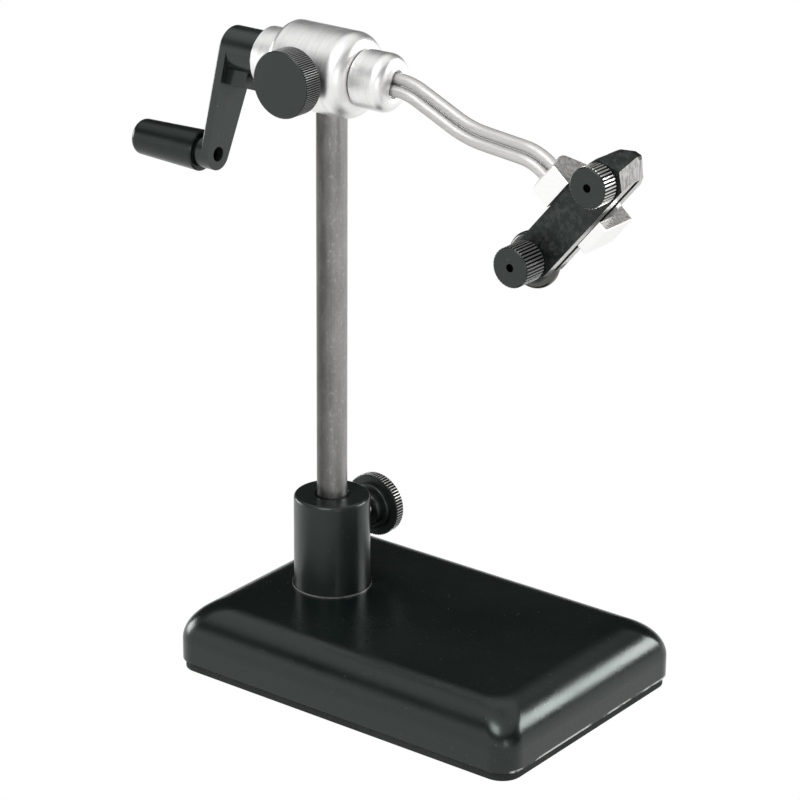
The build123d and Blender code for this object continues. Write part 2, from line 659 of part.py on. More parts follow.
# Front stud, washer and thumb nut
front_washer_far = -jaw_outer - front_washer_gap
front_washer_near = front_washer_far - front_washer_thickness
front_knob_far = front_washer_near - fixed_clearance
front_knob_near = front_knob_far - front_knob_length
front_stud_near = front_knob_far - front_stud_reach
front_stud = jaw_bar(0, 0, front_stud_near, jaw_outer, front_stud_radius)
washer_bore_radius = front_stud_radius + thread_clearance
front_washer = jaw_bar(0, 0, front_washer_near, front_washer_far, front_washer_radius)
washer_face = jaw_frame.origin + along_y * (front_washer_far - front_washer_relief)
washer_relief = bar(washer_face, along_y, front_washer_radius + small_gap, front_washer_relief)
washer_relief -= cone(washer_face, along_y, front_washer_radius, front_washer_land_radius,
                      front_washer_relief)
front_washer -= washer_relief
front_washer -= jaw_bar(0, 0, front_washer_near, front_washer_far, washer_bore_radius)
front_knob_plane = Plane(origin=jaw_frame.origin + along_y * front_knob_far, z_dir=-along_y)
front_knob = front_knob_plane * knurled_disc(jaw_knob_radius, front_knob_length, jaw_knob_groove_count,
                                             jaw_knob_groove_radius, jaw_knob_bevel)
front_knob -= jaw_bar(0, 0, front_stud_near - thread_clearance, front_knob_far, washer_bore_radius)
front_knob -= jaw_bar(0, 0, front_knob_near, front_knob_near + jaw_knob_hole_depth, jaw_knob_hole_radius)

# Rear thumb screw: knob, neck and threaded shank that pushes on the far jaw's tail
rear_neck_far = -jaw_outer - small_gap
rear_knob_far = rear_neck_far - rear_neck_length
rear_knob_near = rear_knob_far - rear_knob_length
rear_centre = jaw_frame.from_local_coords(Vector(-screw_pitch_distance, 0, 0))
rear_knob_plane = Plane(origin=rear_centre + along_y * rear_knob_far, z_dir=-along_y)
rear_knob = rear_knob_plane * knurled_disc(jaw_knob_radius, rear_knob_length, jaw_knob_groove_count,
                                           jaw_knob_groove_radius, jaw_knob_bevel)
rear_neck = jaw_bar(-screw_pitch_distance, 0, rear_knob_far, rear_neck_far, rear_neck_radius)
rear_knob += chamfer(end_rim(rear_neck, Axis.Y, True), jaw_knob_bevel)
rear_screw_near = rear_knob_near + 2 * jaw_knob_hole_depth
rear_knob -= jaw_bar(-screw_pitch_distance, 0, rear_screw_near, rear_neck_far,
                     rear_screw_radius + fixed_clearance)
rear_knob -= jaw_bar(-screw_pitch_distance, 0, rear_knob_near, rear_knob_near + jaw_knob_hole_depth,
                     jaw_knob_hole_radius)
rear_screw = jaw_bar(-screw_pitch_distance, 0, rear_screw_near, jaw_inner - rear_tip_gap, rear_screw_radius)

# Screw from the far side of the block into the far jaw
block_hole = jaw_bar(block_along, 0, jaw_inner, block_far, block_screw_radius + fixed_clearance)
jaw_block -= block_hole
far_jaw -= block_hole
block_screw = jaw_bar(block_along, 0, jaw_inner + small_gap, block_far, block_screw_radius)
block_head = jaw_bar(block_along, 0, block_far, block_far + block_screw_head_height, block_screw_head_radius)
block_screw += fillet(end_rim(block_head, Axis.Y, True), block_screw_head_height / 2)
block_head_face = jaw_frame.from_local_coords(Vector(block_along, 0, block_far + block_screw_head_height))
block_screw -= hex_socket(block_head_face, -along_y, block_screw_radius, hex_head_share)

nodes = {
    "base_casting": base_casting, "base_pad": base_pad, "collar": collar, "collar_screw": collar_screw,
    "post": post, "clamp_knob": clamp_knob, "clamp_screw": clamp_screw, "clamp_plug": clamp_plug,
    "head_housing": head_housing, "front_bushing": front_bushing, "rear_bushing": rear_bushing,
    "post_screw": post_screw, "spindle": spindle, "hub": hub, "rear_collar": rear_collar,
    "rotor_set_screws": rotor_set_screws, "near_rod": near_rod, "far_rod": far_rod,
    "rod_set_screws": rod_set_screws, "tension_knob": tension_knob, "tension_screw": tension_screw,
    "tension_plug": tension_plug, "crank_arm": crank_arm, "crank_screw": crank_screw, "grip": grip,
    "grip_washer": grip_washer, "grip_pin": grip_pin, "jaw_block": jaw_block, "near_jaw": near_jaw,
    "far_jaw": far_jaw, "front_stud": front_stud, "front_washer": front_washer, "front_knob": front_knob,
    "rear_knob": rear_knob, "rear_screw": rear_screw, "block_screw": block_screw,
}

os.makedirs("parts", exist_ok=True)
for name, shape in nodes.items():
    export_step(shape, f"parts/{name}.step")
    print(name, len(shape.solids()), round(shape.volume, 2))
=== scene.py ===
import math

import bmesh
import bpy
from bpy.props import FloatProperty, FloatVectorProperty, IntProperty, PointerProperty
from mathutils import Matrix, Vector


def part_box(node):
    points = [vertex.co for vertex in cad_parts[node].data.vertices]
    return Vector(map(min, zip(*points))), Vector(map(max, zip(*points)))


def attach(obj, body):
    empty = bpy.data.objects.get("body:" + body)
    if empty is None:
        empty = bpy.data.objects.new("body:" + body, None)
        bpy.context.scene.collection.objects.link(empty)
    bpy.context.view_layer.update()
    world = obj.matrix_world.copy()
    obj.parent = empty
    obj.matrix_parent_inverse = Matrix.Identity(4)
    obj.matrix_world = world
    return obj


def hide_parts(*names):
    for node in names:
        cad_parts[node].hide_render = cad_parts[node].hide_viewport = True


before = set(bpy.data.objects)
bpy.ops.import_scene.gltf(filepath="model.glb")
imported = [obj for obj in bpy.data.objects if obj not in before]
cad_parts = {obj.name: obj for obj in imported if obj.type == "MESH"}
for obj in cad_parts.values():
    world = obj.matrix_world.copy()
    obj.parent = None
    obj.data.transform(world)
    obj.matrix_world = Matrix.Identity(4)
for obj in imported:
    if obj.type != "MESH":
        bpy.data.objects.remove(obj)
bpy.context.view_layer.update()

bl_info = {
    "name": "Fly Tying Vise Dressing",
    "version": (1, 0, 0),
    "blender": (4, 5, 0),
    "location": "View3D > Sidebar > Vise",
    "description": "Finishes, threads and stage for a rotary fly tying vise",
    "category": "Object",
}

ALONG_Y = Vector((0.0, 1.0, 0.0))
ALONG_Z = Vector((0.0, 0.0, 1.0))
JAW_LEAN = math.radians(50.0)
# Middle of the tail pad behind the front screw and across from it
TAIL_PAD = (0.0411, 0.0012)
# Tint of the highlights on black finishes
BLACK_SHEEN = (0.88, 1.0, 0.96, 1.0)
WHITE = (1.0, 1.0, 1.0, 1.0)
# Near-black painted shade for knurl grooves and holes
GROOVE_PAINTED_SHADE = (0.0015, 0.0015, 0.0015, 1.0)
# Range in which most noise values lie
NOISE_LOW = 0.3
NOISE_HIGH = 0.7
# Depths of surface relief in metres
FINE_DEPTH = 0.0002
COARSE_DEPTH = 0.0003
SENSOR_WIDTH = 36.0


def node_box(name):
    """Lowest corner, highest corner and middle of a CAD node."""
    low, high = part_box(name)
    return low, high, (low + high) / 2


class Finish:
    """Node tree of one procedural finish, with short calls for the nodes that all finishes share."""

    def __init__(self, name):
        self.material = bpy.data.materials.new(name)
        self.material.use_nodes = True
        self.tree = self.material.node_tree
        self.shader = self.tree.nodes["Principled BSDF"]
        coordinates = self.tree.nodes.new("ShaderNodeTexCoord")
        self.place = coordinates.outputs["Object"]
        self.facing = coordinates.outputs["Normal"]

    def put(self, socket, value):
        """Links a socket to another one, or sets its value."""
        if isinstance(value, bpy.types.NodeSocket):
            self.tree.links.new(value, socket)
        else:
            socket.default_value = value

    def node(self, kind, values, **settings):
        """New node with its settings and inputs."""
        made = self.tree.nodes.new(kind)
        for key, setting in settings.items():
            setattr(made, key, setting)
        for key, value in values.items():
            self.put(made.inputs[key], value)
        return made

    def calc(self, operation, *values):
        """Math node."""
        return self.node("ShaderNodeMath", dict(enumerate(values)), operation=operation).outputs[0]

    def moved(self, offset, turn=(0.0, 0.0, 0.0), stretch=(1.0, 1.0, 1.0)):
        """Object coordinates seen from a point, turned and stretched."""
        shifted = self.node("ShaderNodeVectorMath", {0: self.place, 1: offset}, operation="SUBTRACT")
        values = {"Vector": shifted.outputs[0], "Rotation": turn, "Scale": stretch}
        return self.node("ShaderNodeMapping", values, vector_type="POINT").outputs[0]

    def split(self, vector):
        """X, Y and Z of a vector."""
        return self.node("ShaderNodeSeparateXYZ", {0: vector}).outputs

    def joined(self, x, y, z):
        """Vector of three numbers."""
        return self.node("ShaderNodeCombineXYZ", {0: x, 1: y, 2: z}).outputs[0]

    def length(self, x, y, z):
        """Length of a vector of three numbers."""
        made = self.node("ShaderNodeVectorMath", {0: self.joined(x, y, z)}, operation="LENGTH")
        return made.outputs["Value"]

    def facing_share(self, direction):
        """How far the surface faces along a direction, from -1 to 1."""
        return self.along(self.facing, direction)

    def along(self, vector, direction):
        """Length of a vector along a direction."""
        made = self.node("ShaderNodeVectorMath", {0: vector, 1: direction}, operation="DOT_PRODUCT")
        return made.outputs["Value"]

    def grain(self, vector, scale, detail=2.0, roughness=0.5):
        """Noise from 0 to 1."""
        values = {"Vector": vector, "Scale": scale, "Detail": detail, "Roughness": roughness}
        return self.node("ShaderNodeTexNoise", values).outputs[0]

    def ramp(self, value, low, high, out_low=0.0, out_high=1.0):
        """Number mapped from one range to another, held at the ends."""
        values = {"Value": value, "From Min": low, "From Max": high, "To Min": out_low, "To Max": out_high}
        return self.node("ShaderNodeMapRange", values, clamp=True).outputs[0]

    def spread(self, noise, out_low=0.0, out_high=1.0):
        """Noise stretched from its usual range to another one."""
        return self.ramp(noise, NOISE_LOW, NOISE_HIGH, out_low, out_high)

    def times(self, first, second):
        """Product of two numbers."""
        return self.calc("MULTIPLY", first, second)

    def mix(self, share, first, second):
        """Colour between two colours."""
        made = self.node("ShaderNodeMix", {0: share, 6: first, 7: second}, data_type="RGBA")
        return made.outputs[2]

    def mix_number(self, share, first, second):
        """Number between two numbers."""
        return self.node("ShaderNodeMix", {0: share, 2: first, 3: second}, data_type="FLOAT").outputs[0]

    def relief(self, height, strength, distance, under=None):
        """Bump normal of a height, over another one if given."""
        values = {"Height": height, "Strength": strength, "Distance": distance}
        if under is not None:
            values["Normal"] = under
        return self.node("ShaderNodeBump", values).outputs[0]

    def sheen(self, bare):
        """Cool tint of a black finish's highlights, left out where bare metal shows."""
        return self.mix(bare, BLACK_SHEEN, WHITE)

    def done(self, **sockets):
        """Sets the shader's sockets and gives the material."""
        for key, value in sockets.items():
            self.put(self.shader.inputs[key.replace("_", " ")], value)
        return self.material


def dress(material, *names):
    """Gives CAD nodes their finish."""
    for name in names:
        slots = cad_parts[name].data.materials
        slots.clear()
        slots.append(material)


def darker(colour, share):
    """Share of a colour."""
    return tuple(part * share for part in colour)


def opaque(colour):
    """Colour with full alpha."""
    return (*colour, 1.0)


def colour_property(name, description, default):
    """Colour that a user may change."""
    return FloatVectorProperty(name=name, description=description, default=default, subtype="COLOR",
                               min=0.0, max=1.0)


def length_property(name, description, default):
    """Length that a user may change, in metres."""
    return FloatProperty(name=name, description=description, default=default, subtype="DISTANCE",
                         unit="LENGTH", precision=5)


class ViseFinishes(bpy.types.PropertyGroup):
    """Colours of the vise's finishes."""

    base_paint: colour_property("Base paint", "Satin black of the base", (0.002, 0.0042, 0.0036))
    dust: colour_property("Dust", "Specks and rubbed marks on the base", (0.16, 0.165, 0.16))
    bare_iron: colour_property("Bare iron", "Metal that shows in chips", (0.62, 0.61, 0.6))
    collar_paint: colour_property("Collar", "Black of the collar", (0.0035, 0.0062, 0.0054))
    # Painted light and painted shade of the post's two sides
    post_painted_lit_side: colour_property("Post, light", "Light side of the drawn post", (0.36, 0.355, 0.345))
    post_painted_shade_side: colour_property("Post, dark", "Dark side of the drawn post", (0.085, 0.083, 0.08))
    aluminium: colour_property("Aluminium", "Turned aluminium of the head", (0.93, 0.925, 0.92))
    milled_aluminium: colour_property("Milled aluminium", "Bright sides of the jaw block",
                                      (0.97, 0.965, 0.96))
    sawn_aluminium: colour_property("Sawn aluminium", "Dull faces of the jaw block", (0.62, 0.61, 0.59))
    knob_black: colour_property("Knobs", "Black of the knurled knobs", (0.0075, 0.0105, 0.0096))
    crank_black: colour_property("Crank", "Black of the moulded crank", (0.0115, 0.0145, 0.0135))
    grip_black: colour_property("Grip", "Black of the grip", (0.0055, 0.0078, 0.0071))
    rod_steel: colour_property("Rods", "Stainless steel of the bent rods", (0.6, 0.592, 0.58))
    jaw_black: colour_property("Jaws", "Blackened steel of the jaws", (0.0065, 0.0088, 0.008))
    ground_steel: colour_property("Ground steel", "Bare ground edges of the jaws", (0.66, 0.65, 0.64))
    nose_steel: colour_property("Nose steel", "Brushed lower facet of the nose", (0.42, 0.412, 0.4))
    # Painted highlight ring on the tail pad, in place of the reflection of a rounded rim
    pad_highlight_steel: colour_property("Tail pad", "Rubbed rim of the tail pad", (0.1, 0.098, 0.095))
    screw_steel: colour_property("Screws", "Plain steel of screws and spindle", (0.44, 0.435, 0.43))
    brass: colour_property("Bearing metal", "Bushings and clamp plug", (0.62, 0.46, 0.22))
    nylon: colour_property("Nylon", "Plug on the spindle", (0.78, 0.77, 0.72))
    rubber: colour_property("Rubber", "Pad under the base", (0.011, 0.0135, 0.0125))


class ViseThreads(bpy.types.PropertyGroup):
    """Sizes of the modelled screw threads."""

    clamp_pitch: length_property("Clamp pitch", "Thread pitch of the clamp stud", 0.001)
    tension_pitch: length_property("Tension pitch", "Thread pitch of the tension stud", 0.0008)
    depth_share: FloatProperty(name="Depth share", description="Thread depth as a share of its pitch",
                               default=0.5, min=0.1, max=0.7, subtype="FACTOR")
    around: IntProperty(name="Around", description="Faces round a stud", default=48, min=12, max=128)


class ViseStage(bpy.types.PropertyGroup):
    """Camera, lamps and floor."""

    camera_place: FloatVectorProperty(name="Camera", description="Place of the camera", subtype="XYZ",
                                      unit="LENGTH", default=(0.5454, -0.73068, 0.45332))
    camera_azimuth: FloatProperty(name="Azimuth", description="Side from which the camera looks",
                                  subtype="ANGLE", default=math.radians(37.8))
    camera_elevation: FloatProperty(name="Elevation", description="Height from which the camera looks",
                                    subtype="ANGLE", default=math.radians(22.43))
    camera_roll: FloatProperty(name="Roll", description="Turn of the camera about its own line of sight",
                               subtype="ANGLE", default=math.radians(0.23))
    camera_lens: FloatProperty(name="Lens", description="Focal length in millimetres", default=146.406)
    camera_shift_x: FloatProperty(name="Shift X", description="Sideways shift of the frame", default=0.0376)
    camera_shift_y: FloatProperty(name="Shift Y", description="Upward shift of the frame", default=0.0557)
    floor_size: length_property("Floor", "Half the width of the floor", 30.0)
    floor_colour: colour_property("Floor colour", "Pale floor", (0.93, 0.93, 0.93))
    floor_glow_share: FloatProperty(name="White share", description="Share of plain white in the floor",
                                    default=0.98, min=0.0, max=1.0, subtype="FACTOR")
    room_dim: FloatProperty(name="Room", description="Brightness of the dark room", default=0.03, min=0.0)
    room_low: FloatProperty(name="Low wall", description="Added brightness of the low wall on the near side",
                            default=1.1, min=0.0)
    room_ceiling: FloatProperty(name="Ceiling", description="Added brightness of the ceiling", default=1.0,
                                min=0.0)


# Finishes of the base and the stand


def base_paint(finishes):
    """Satin black paint with orange peel, dust, rubbed marks and chips along the lower edge of one end."""
    finish = Finish("satin_black_paint")
    low, high, middle = node_box("base_casting")
    seen = finish.moved(tuple(middle))
    peel = finish.grain(seen, 900.0, 3.0, 0.55)
    cloud = finish.grain(seen, 28.0, 4.0, 0.6)
    patches = finish.ramp(finish.grain(seen, 46.0, 2.0), 0.4, 0.62)
    specks = finish.ramp(finish.grain(seen, 1500.0, 1.0), 0.75, 0.8)
    streaked = finish.moved(tuple(middle), (0.0, 0.0, math.radians(-28.0)), (260.0, 1500.0, 400.0))
    scratches = finish.ramp(finish.grain(streaked, 1.0, 2.0), 0.78, 0.84)
    marks = finish.times(patches, finish.calc("MAXIMUM", specks, scratches))
    across = finish.split(finish.place)
    at_end = finish.ramp(across[0], high.x - 0.0016, high.x - 0.0008)
    seam = finish.times(finish.ramp(across[2], low.z + 0.0012, low.z + 0.0008), at_end)
    drawn_out = finish.moved(tuple(middle), stretch=(1.0, 0.16, 1.0))
    flakes = finish.ramp(finish.grain(drawn_out, 520.0, 4.0, 0.65), 0.46, 0.53)
    chips = finish.times(seam, flakes)
    dusted = finish.mix(finish.times(marks, 0.7), opaque(finishes.base_paint), opaque(finishes.dust))
    colour = finish.mix(chips, dusted, opaque(finishes.bare_iron))
    rough = finish.calc("ADD", finish.spread(cloud, 0.23, 0.31), finish.times(marks, 0.25))
    normal = finish.relief(peel, 0.09, COARSE_DEPTH)
    normal = finish.relief(chips, 0.4, -FINE_DEPTH, normal)
    return finish.done(Base_Color=colour, Metallic=chips, Roughness=rough, Specular_Tint=finish.sheen(chips),
                       Normal=normal)


def rubber_sheet(finishes):
    """Dull rubber with a fine grain."""
    finish = Finish("rubber_sheet")
    pores = finish.grain(finish.place, 1500.0, 3.0, 0.6)
    cloud = finish.grain(finish.place, 60.0, 3.0)
    dusty = finish.ramp(cloud, 0.35, 0.7, 0.0, 0.06)
    colour = finish.mix(dusty, opaque(finishes.rubber), opaque(finishes.dust))
    rough = finish.spread(pores, 0.6, 0.75)
    normal = finish.relief(pores, 0.3, COARSE_DEPTH)
    return finish.done(Base_Color=colour, Roughness=rough, Specular_IOR_Level=0.2, Normal=normal)


def collar_paint(finishes):
    """Turned black with upright highlights, dust and a thin line of bare metal round the edge of the foot."""
    finish = Finish("black_collar_paint")
    low, high, middle = node_box("collar")
    seen = finish.moved(tuple(middle))
    ripple = finish.grain(seen, 330.0, 2.0)
    cloud = finish.grain(seen, 110.0, 4.0, 0.6)
    specks = finish.ramp(finish.grain(seen, 1700.0, 1.0), 0.76, 0.8)
    part = finish.split(seen)
    radius = finish.length(part[0], part[1], 0.0)
    reach = (high.x - low.x) / 2
    edge = finish.ramp(radius, reach - 0.00012, reach - 0.00004)
    bare_foot_line = finish.times(edge, finish.ramp(finish.grain(seen, 260.0, 2.0), 0.3, 0.6, 0.12, 0.32))
    dusted = finish.mix(finish.times(specks, 0.4), opaque(finishes.collar_paint), opaque(finishes.dust))
    colour = finish.mix(bare_foot_line, dusted, opaque(finishes.bare_iron))
    rough = finish.spread(cloud, 0.27, 0.36)
    around = finish.node("ShaderNodeTangent", {}, direction_type="RADIAL", axis="Z").outputs[0]
    drawn_out = finish.ramp(finish.facing_share(tuple(ALONG_Z)), 0.3, 0.6, 0.75, 0.0)
    return finish.done(Base_Color=colour, Metallic=bare_foot_line, Roughness=rough, Specular_Tint=finish.sheen(bare_foot_line),
                       Anisotropic=drawn_out, Anisotropic_Rotation=0.25, Tangent=around,
                       Normal=finish.relief(ripple, 0.05, COARSE_DEPTH))


def post_steel(finishes):
    """Dark drawn steel: fine streaks along the post, soft blotches, painted shade on the side towards the
    crank and a painted lit side opposite it.
    """
    finish = Finish("drawn_dark_steel")
    middle = node_box("post")[2]
    drawn = finish.grain(finish.moved(tuple(middle), stretch=(1.0, 1.0, 0.012)), 2400.0, 3.0, 0.6)
    blotch = finish.grain(finish.moved(tuple(middle), stretch=(1.0, 1.0, 0.35)), 210.0, 5.0, 0.6)
    mottle = finish.grain(finish.moved(tuple(middle), stretch=(1.0, 1.0, 0.6)), 1100.0, 4.0, 0.7)
    tone = finish.calc("ADD", finish.times(drawn, 0.3), finish.times(blotch, 0.7))
    # Painted light and shade: the side facing +X is painted lighter, the side towards the crank darker
    side = finish.ramp(finish.facing_share((0.97, 0.22, 0.0)), -0.15, 0.75)
    shade = finish.calc("ADD", finish.times(side, 0.7), finish.ramp(tone, 0.36, 0.64, -0.1, 0.2))
    # Bare iron in mottled rubbed patches, weighted towards the painted lit side, so partly wear and partly
    # painted light
    rubbed = finish.times(finish.ramp(mottle, 0.54, 0.7), finish.ramp(side, 0.2, 0.5, 0.05, 0.3))
    colour = finish.mix(shade, opaque(finishes.post_painted_shade_side), opaque(finishes.post_painted_lit_side))
    colour = finish.mix(rubbed, colour, opaque(finishes.bare_iron))
    rough = finish.ramp(tone, 0.35, 0.65, 0.4, 0.3)
    normal = finish.relief(drawn, 0.05, FINE_DEPTH)
    return finish.done(Base_Color=colour, Metallic=1.0, Roughness=rough, Normal=normal)


# Finishes of the head


def turned_aluminium(finishes):
    """Aluminium with tool marks that run round the axis of rotation, on barrels and on end faces alike."""
    finish = Finish("turned_aluminium")
    middle = node_box("spindle")[2]
    part = finish.split(finish.moved(tuple(middle)))
    along = finish.calc("ADD", part[0], finish.length(0.0, part[1], part[2]))
    marks_place = finish.joined(finish.times(along, 60.0), part[1], part[2])
    fine = finish.grain(marks_place, 55.0, 4.0, 0.7)
    broad = finish.grain(finish.joined(finish.times(along, 6.0), part[1], part[2]), 110.0, 4.0, 0.65)
    smudge = finish.grain(finish.place, 140.0, 4.0, 0.6)
    tone = finish.calc("ADD", finish.times(fine, 0.5), finish.times(broad, 0.5))
    shade = darker(finishes.aluminium, 0.84)
    colour = finish.mix(finish.ramp(tone, 0.36, 0.6), opaque(shade), opaque(finishes.aluminium))
    rough = finish.calc("ADD", finish.spread(smudge, 0.34, 0.42), finish.spread(fine, 0.0, 0.06))
    normal = finish.relief(fine, 0.07, FINE_DEPTH)
    return finish.done(Base_Color=colour, Metallic=1.0, Roughness=rough, Normal=normal)


def milled_aluminium(finishes):
    """Aluminium of the jaw block: smooth bright sides and mottled grey faces towards tip and tail."""
    finish = Finish("milled_aluminium")
    middle = node_box("jaw_block")[2]
    jaw_way = (math.cos(JAW_LEAN), 0.0, math.sin(JAW_LEAN))
    milled = finish.grain(finish.moved(tuple(middle), (0.0, JAW_LEAN, 0.0), (9.0, 3.0, 90.0)), 30.0, 3.0, 0.6)
    mottle = finish.grain(finish.moved(tuple(middle)), 1100.0, 5.0, 0.7)
    sawn = finish.ramp(finish.calc("ABSOLUTE", finish.facing_share(jaw_way)), 0.75, 0.9)
    bright = finish.mix(finish.spread(milled, 0.9, 1.0), opaque(finishes.sawn_aluminium),
                        opaque(finishes.milled_aluminium))
    dull = finish.mix(finish.ramp(mottle, 0.36, 0.62), opaque(darker(finishes.sawn_aluminium, 0.5)),
                      opaque(finishes.sawn_aluminium))
    colour = finish.mix(sawn, bright, dull)
    rough = finish.mix_number(sawn, 0.36, finish.spread(mottle, 0.34, 0.46))
    height = finish.mix_number(sawn, milled, mottle)
    normal = finish.relief(height, 0.1, FINE_DEPTH)
    return finish.done(Base_Color=colour, Metallic=1.0, Roughness=rough, Normal=normal)


def knob_black(finishes, node, ridge_bare_share, hole_shade_radius):
    """Black anodised knob: matt grain, painted shade in the hole and in the grooves, and bare steel on the
    ridge tops that is partly rubbed wear and partly painted highlight.
    """
    finish = Finish("black_anodised_" + node)
    low, high, middle = node_box(node)
    part = finish.split(finish.moved(tuple(middle)))
    reach = (high.x - low.x) / 2
    skin = finish.grain(finish.place, 2300.0, 3.0, 0.6)
    handled = finish.grain(finish.place, 150.0, 4.0, 0.6)
    specks = finish.ramp(finish.grain(finish.place, 1600.0, 1.0), 0.74, 0.79)
    radius = finish.length(part[0], 0.0, part[2])
    ridge = finish.ramp(radius, reach - 0.00014, reach - 0.00005)
    outward = finish.calc("ABSOLUTE", finish.split(finish.facing)[1])
    outer_part = finish.ramp(radius, reach - 0.001, reach - 0.0008)
    on_rim = finish.times(finish.ramp(outward, 0.6, 0.3), outer_part)
    # Painted shade: groove bottoms on the rim and the middle hole are coloured near black and given little
    # reflection
    groove_shade = finish.times(finish.ramp(radius, reach - 0.00006, reach - 0.00018), on_rim)
    hole_shade = finish.calc("LESS_THAN", radius, hole_shade_radius)
    groove_shade = finish.calc("MAXIMUM", groove_shade, hole_shade)
    # Bare steel on the ridge tops: partly rubbed wear, partly painted highlight of the knurl
    rubbed = finish.times(ridge, finish.ramp(skin, 0.3, 0.5, 0.6 * ridge_bare_share, ridge_bare_share))
    colour = finish.mix(finish.times(specks, 0.4), opaque(finishes.knob_black), opaque(finishes.dust))
    colour = finish.mix(groove_shade, colour, GROOVE_PAINTED_SHADE)
    colour = finish.mix(rubbed, colour, opaque(finishes.ground_steel))
    rough = finish.spread(handled, 0.32, 0.42)
    shine = finish.mix_number(groove_shade, 0.5, 0.06)
    normal = finish.relief(skin, 0.1, FINE_DEPTH)
    return finish.done(Base_Color=colour, Metallic=rubbed, Roughness=rough, Specular_IOR_Level=shine,
                       Specular_Tint=finish.sheen(rubbed), Normal=normal)


def crank_plastic(finishes):
    """Moulded black plastic with a soft sheen, faint flow marks and dust."""
    finish = Finish("moulded_black_plastic")
    flow = finish.grain(finish.moved((0.0, 0.0, 0.0), stretch=(1.0, 1.0, 0.35)), 130.0, 4.0, 0.55)
    skin = finish.grain(finish.place, 1700.0, 3.0, 0.6)
    specks = finish.ramp(finish.grain(finish.place, 1250.0, 1.0), 0.75, 0.79)
    colour = finish.mix(finish.times(specks, 0.5), opaque(finishes.crank_black), opaque(finishes.dust))
    rough = finish.spread(flow, 0.2, 0.3)
    return finish.done(Base_Color=colour, Roughness=rough, Specular_Tint=BLACK_SHEEN,
                       Normal=finish.relief(skin, 0.08, FINE_DEPTH))


def grip_plastic(finishes):
    """Smooth turned black plastic, glossy, with faint rings and dust."""
    finish = Finish("smooth_black_plastic")
    rings = finish.grain(finish.moved((0.0, 0.0, 0.0), stretch=(40.0, 1.0, 1.0)), 60.0, 3.0, 0.6)
    wear = finish.grain(finish.place, 170.0, 4.0, 0.6)
    specks = finish.ramp(finish.grain(finish.place, 1400.0, 1.0), 0.75, 0.79)
    colour = finish.mix(finish.times(specks, 0.4), opaque(finishes.grip_black), opaque(finishes.dust))
    rough = finish.spread(wear, 0.2, 0.29)
    return finish.done(Base_Color=colour, Roughness=rough, Specular_IOR_Level=0.34, Specular_Tint=BLACK_SHEEN,
                       Normal=finish.relief(rings, 0.06, FINE_DEPTH))


# Finishes of rods, jaws and small parts


def rod_steel(finishes):
    """Satin stainless rod with draw lines along its length."""
    finish = Finish("satin_stainless")
    drawn_way = finish.moved((0.0, 0.0, 0.0), (0.0, math.radians(12.0), 0.0), (0.03, 1.0, 1.0))
    lines = finish.grain(drawn_way, 2600.0, 3.0)
    cloud = finish.grain(finish.place, 210.0, 4.0, 0.6)
    shade = darker(finishes.rod_steel, 0.86)
    colour = finish.mix(finish.ramp(lines, 0.3, 0.65), opaque(shade), opaque(finishes.rod_steel))
    rough = finish.spread(cloud, 0.5, 0.6)
    normal = finish.relief(lines, 0.06, FINE_DEPTH)
    return finish.done(Base_Color=colour, Metallic=1.0, Roughness=rough, Normal=normal)


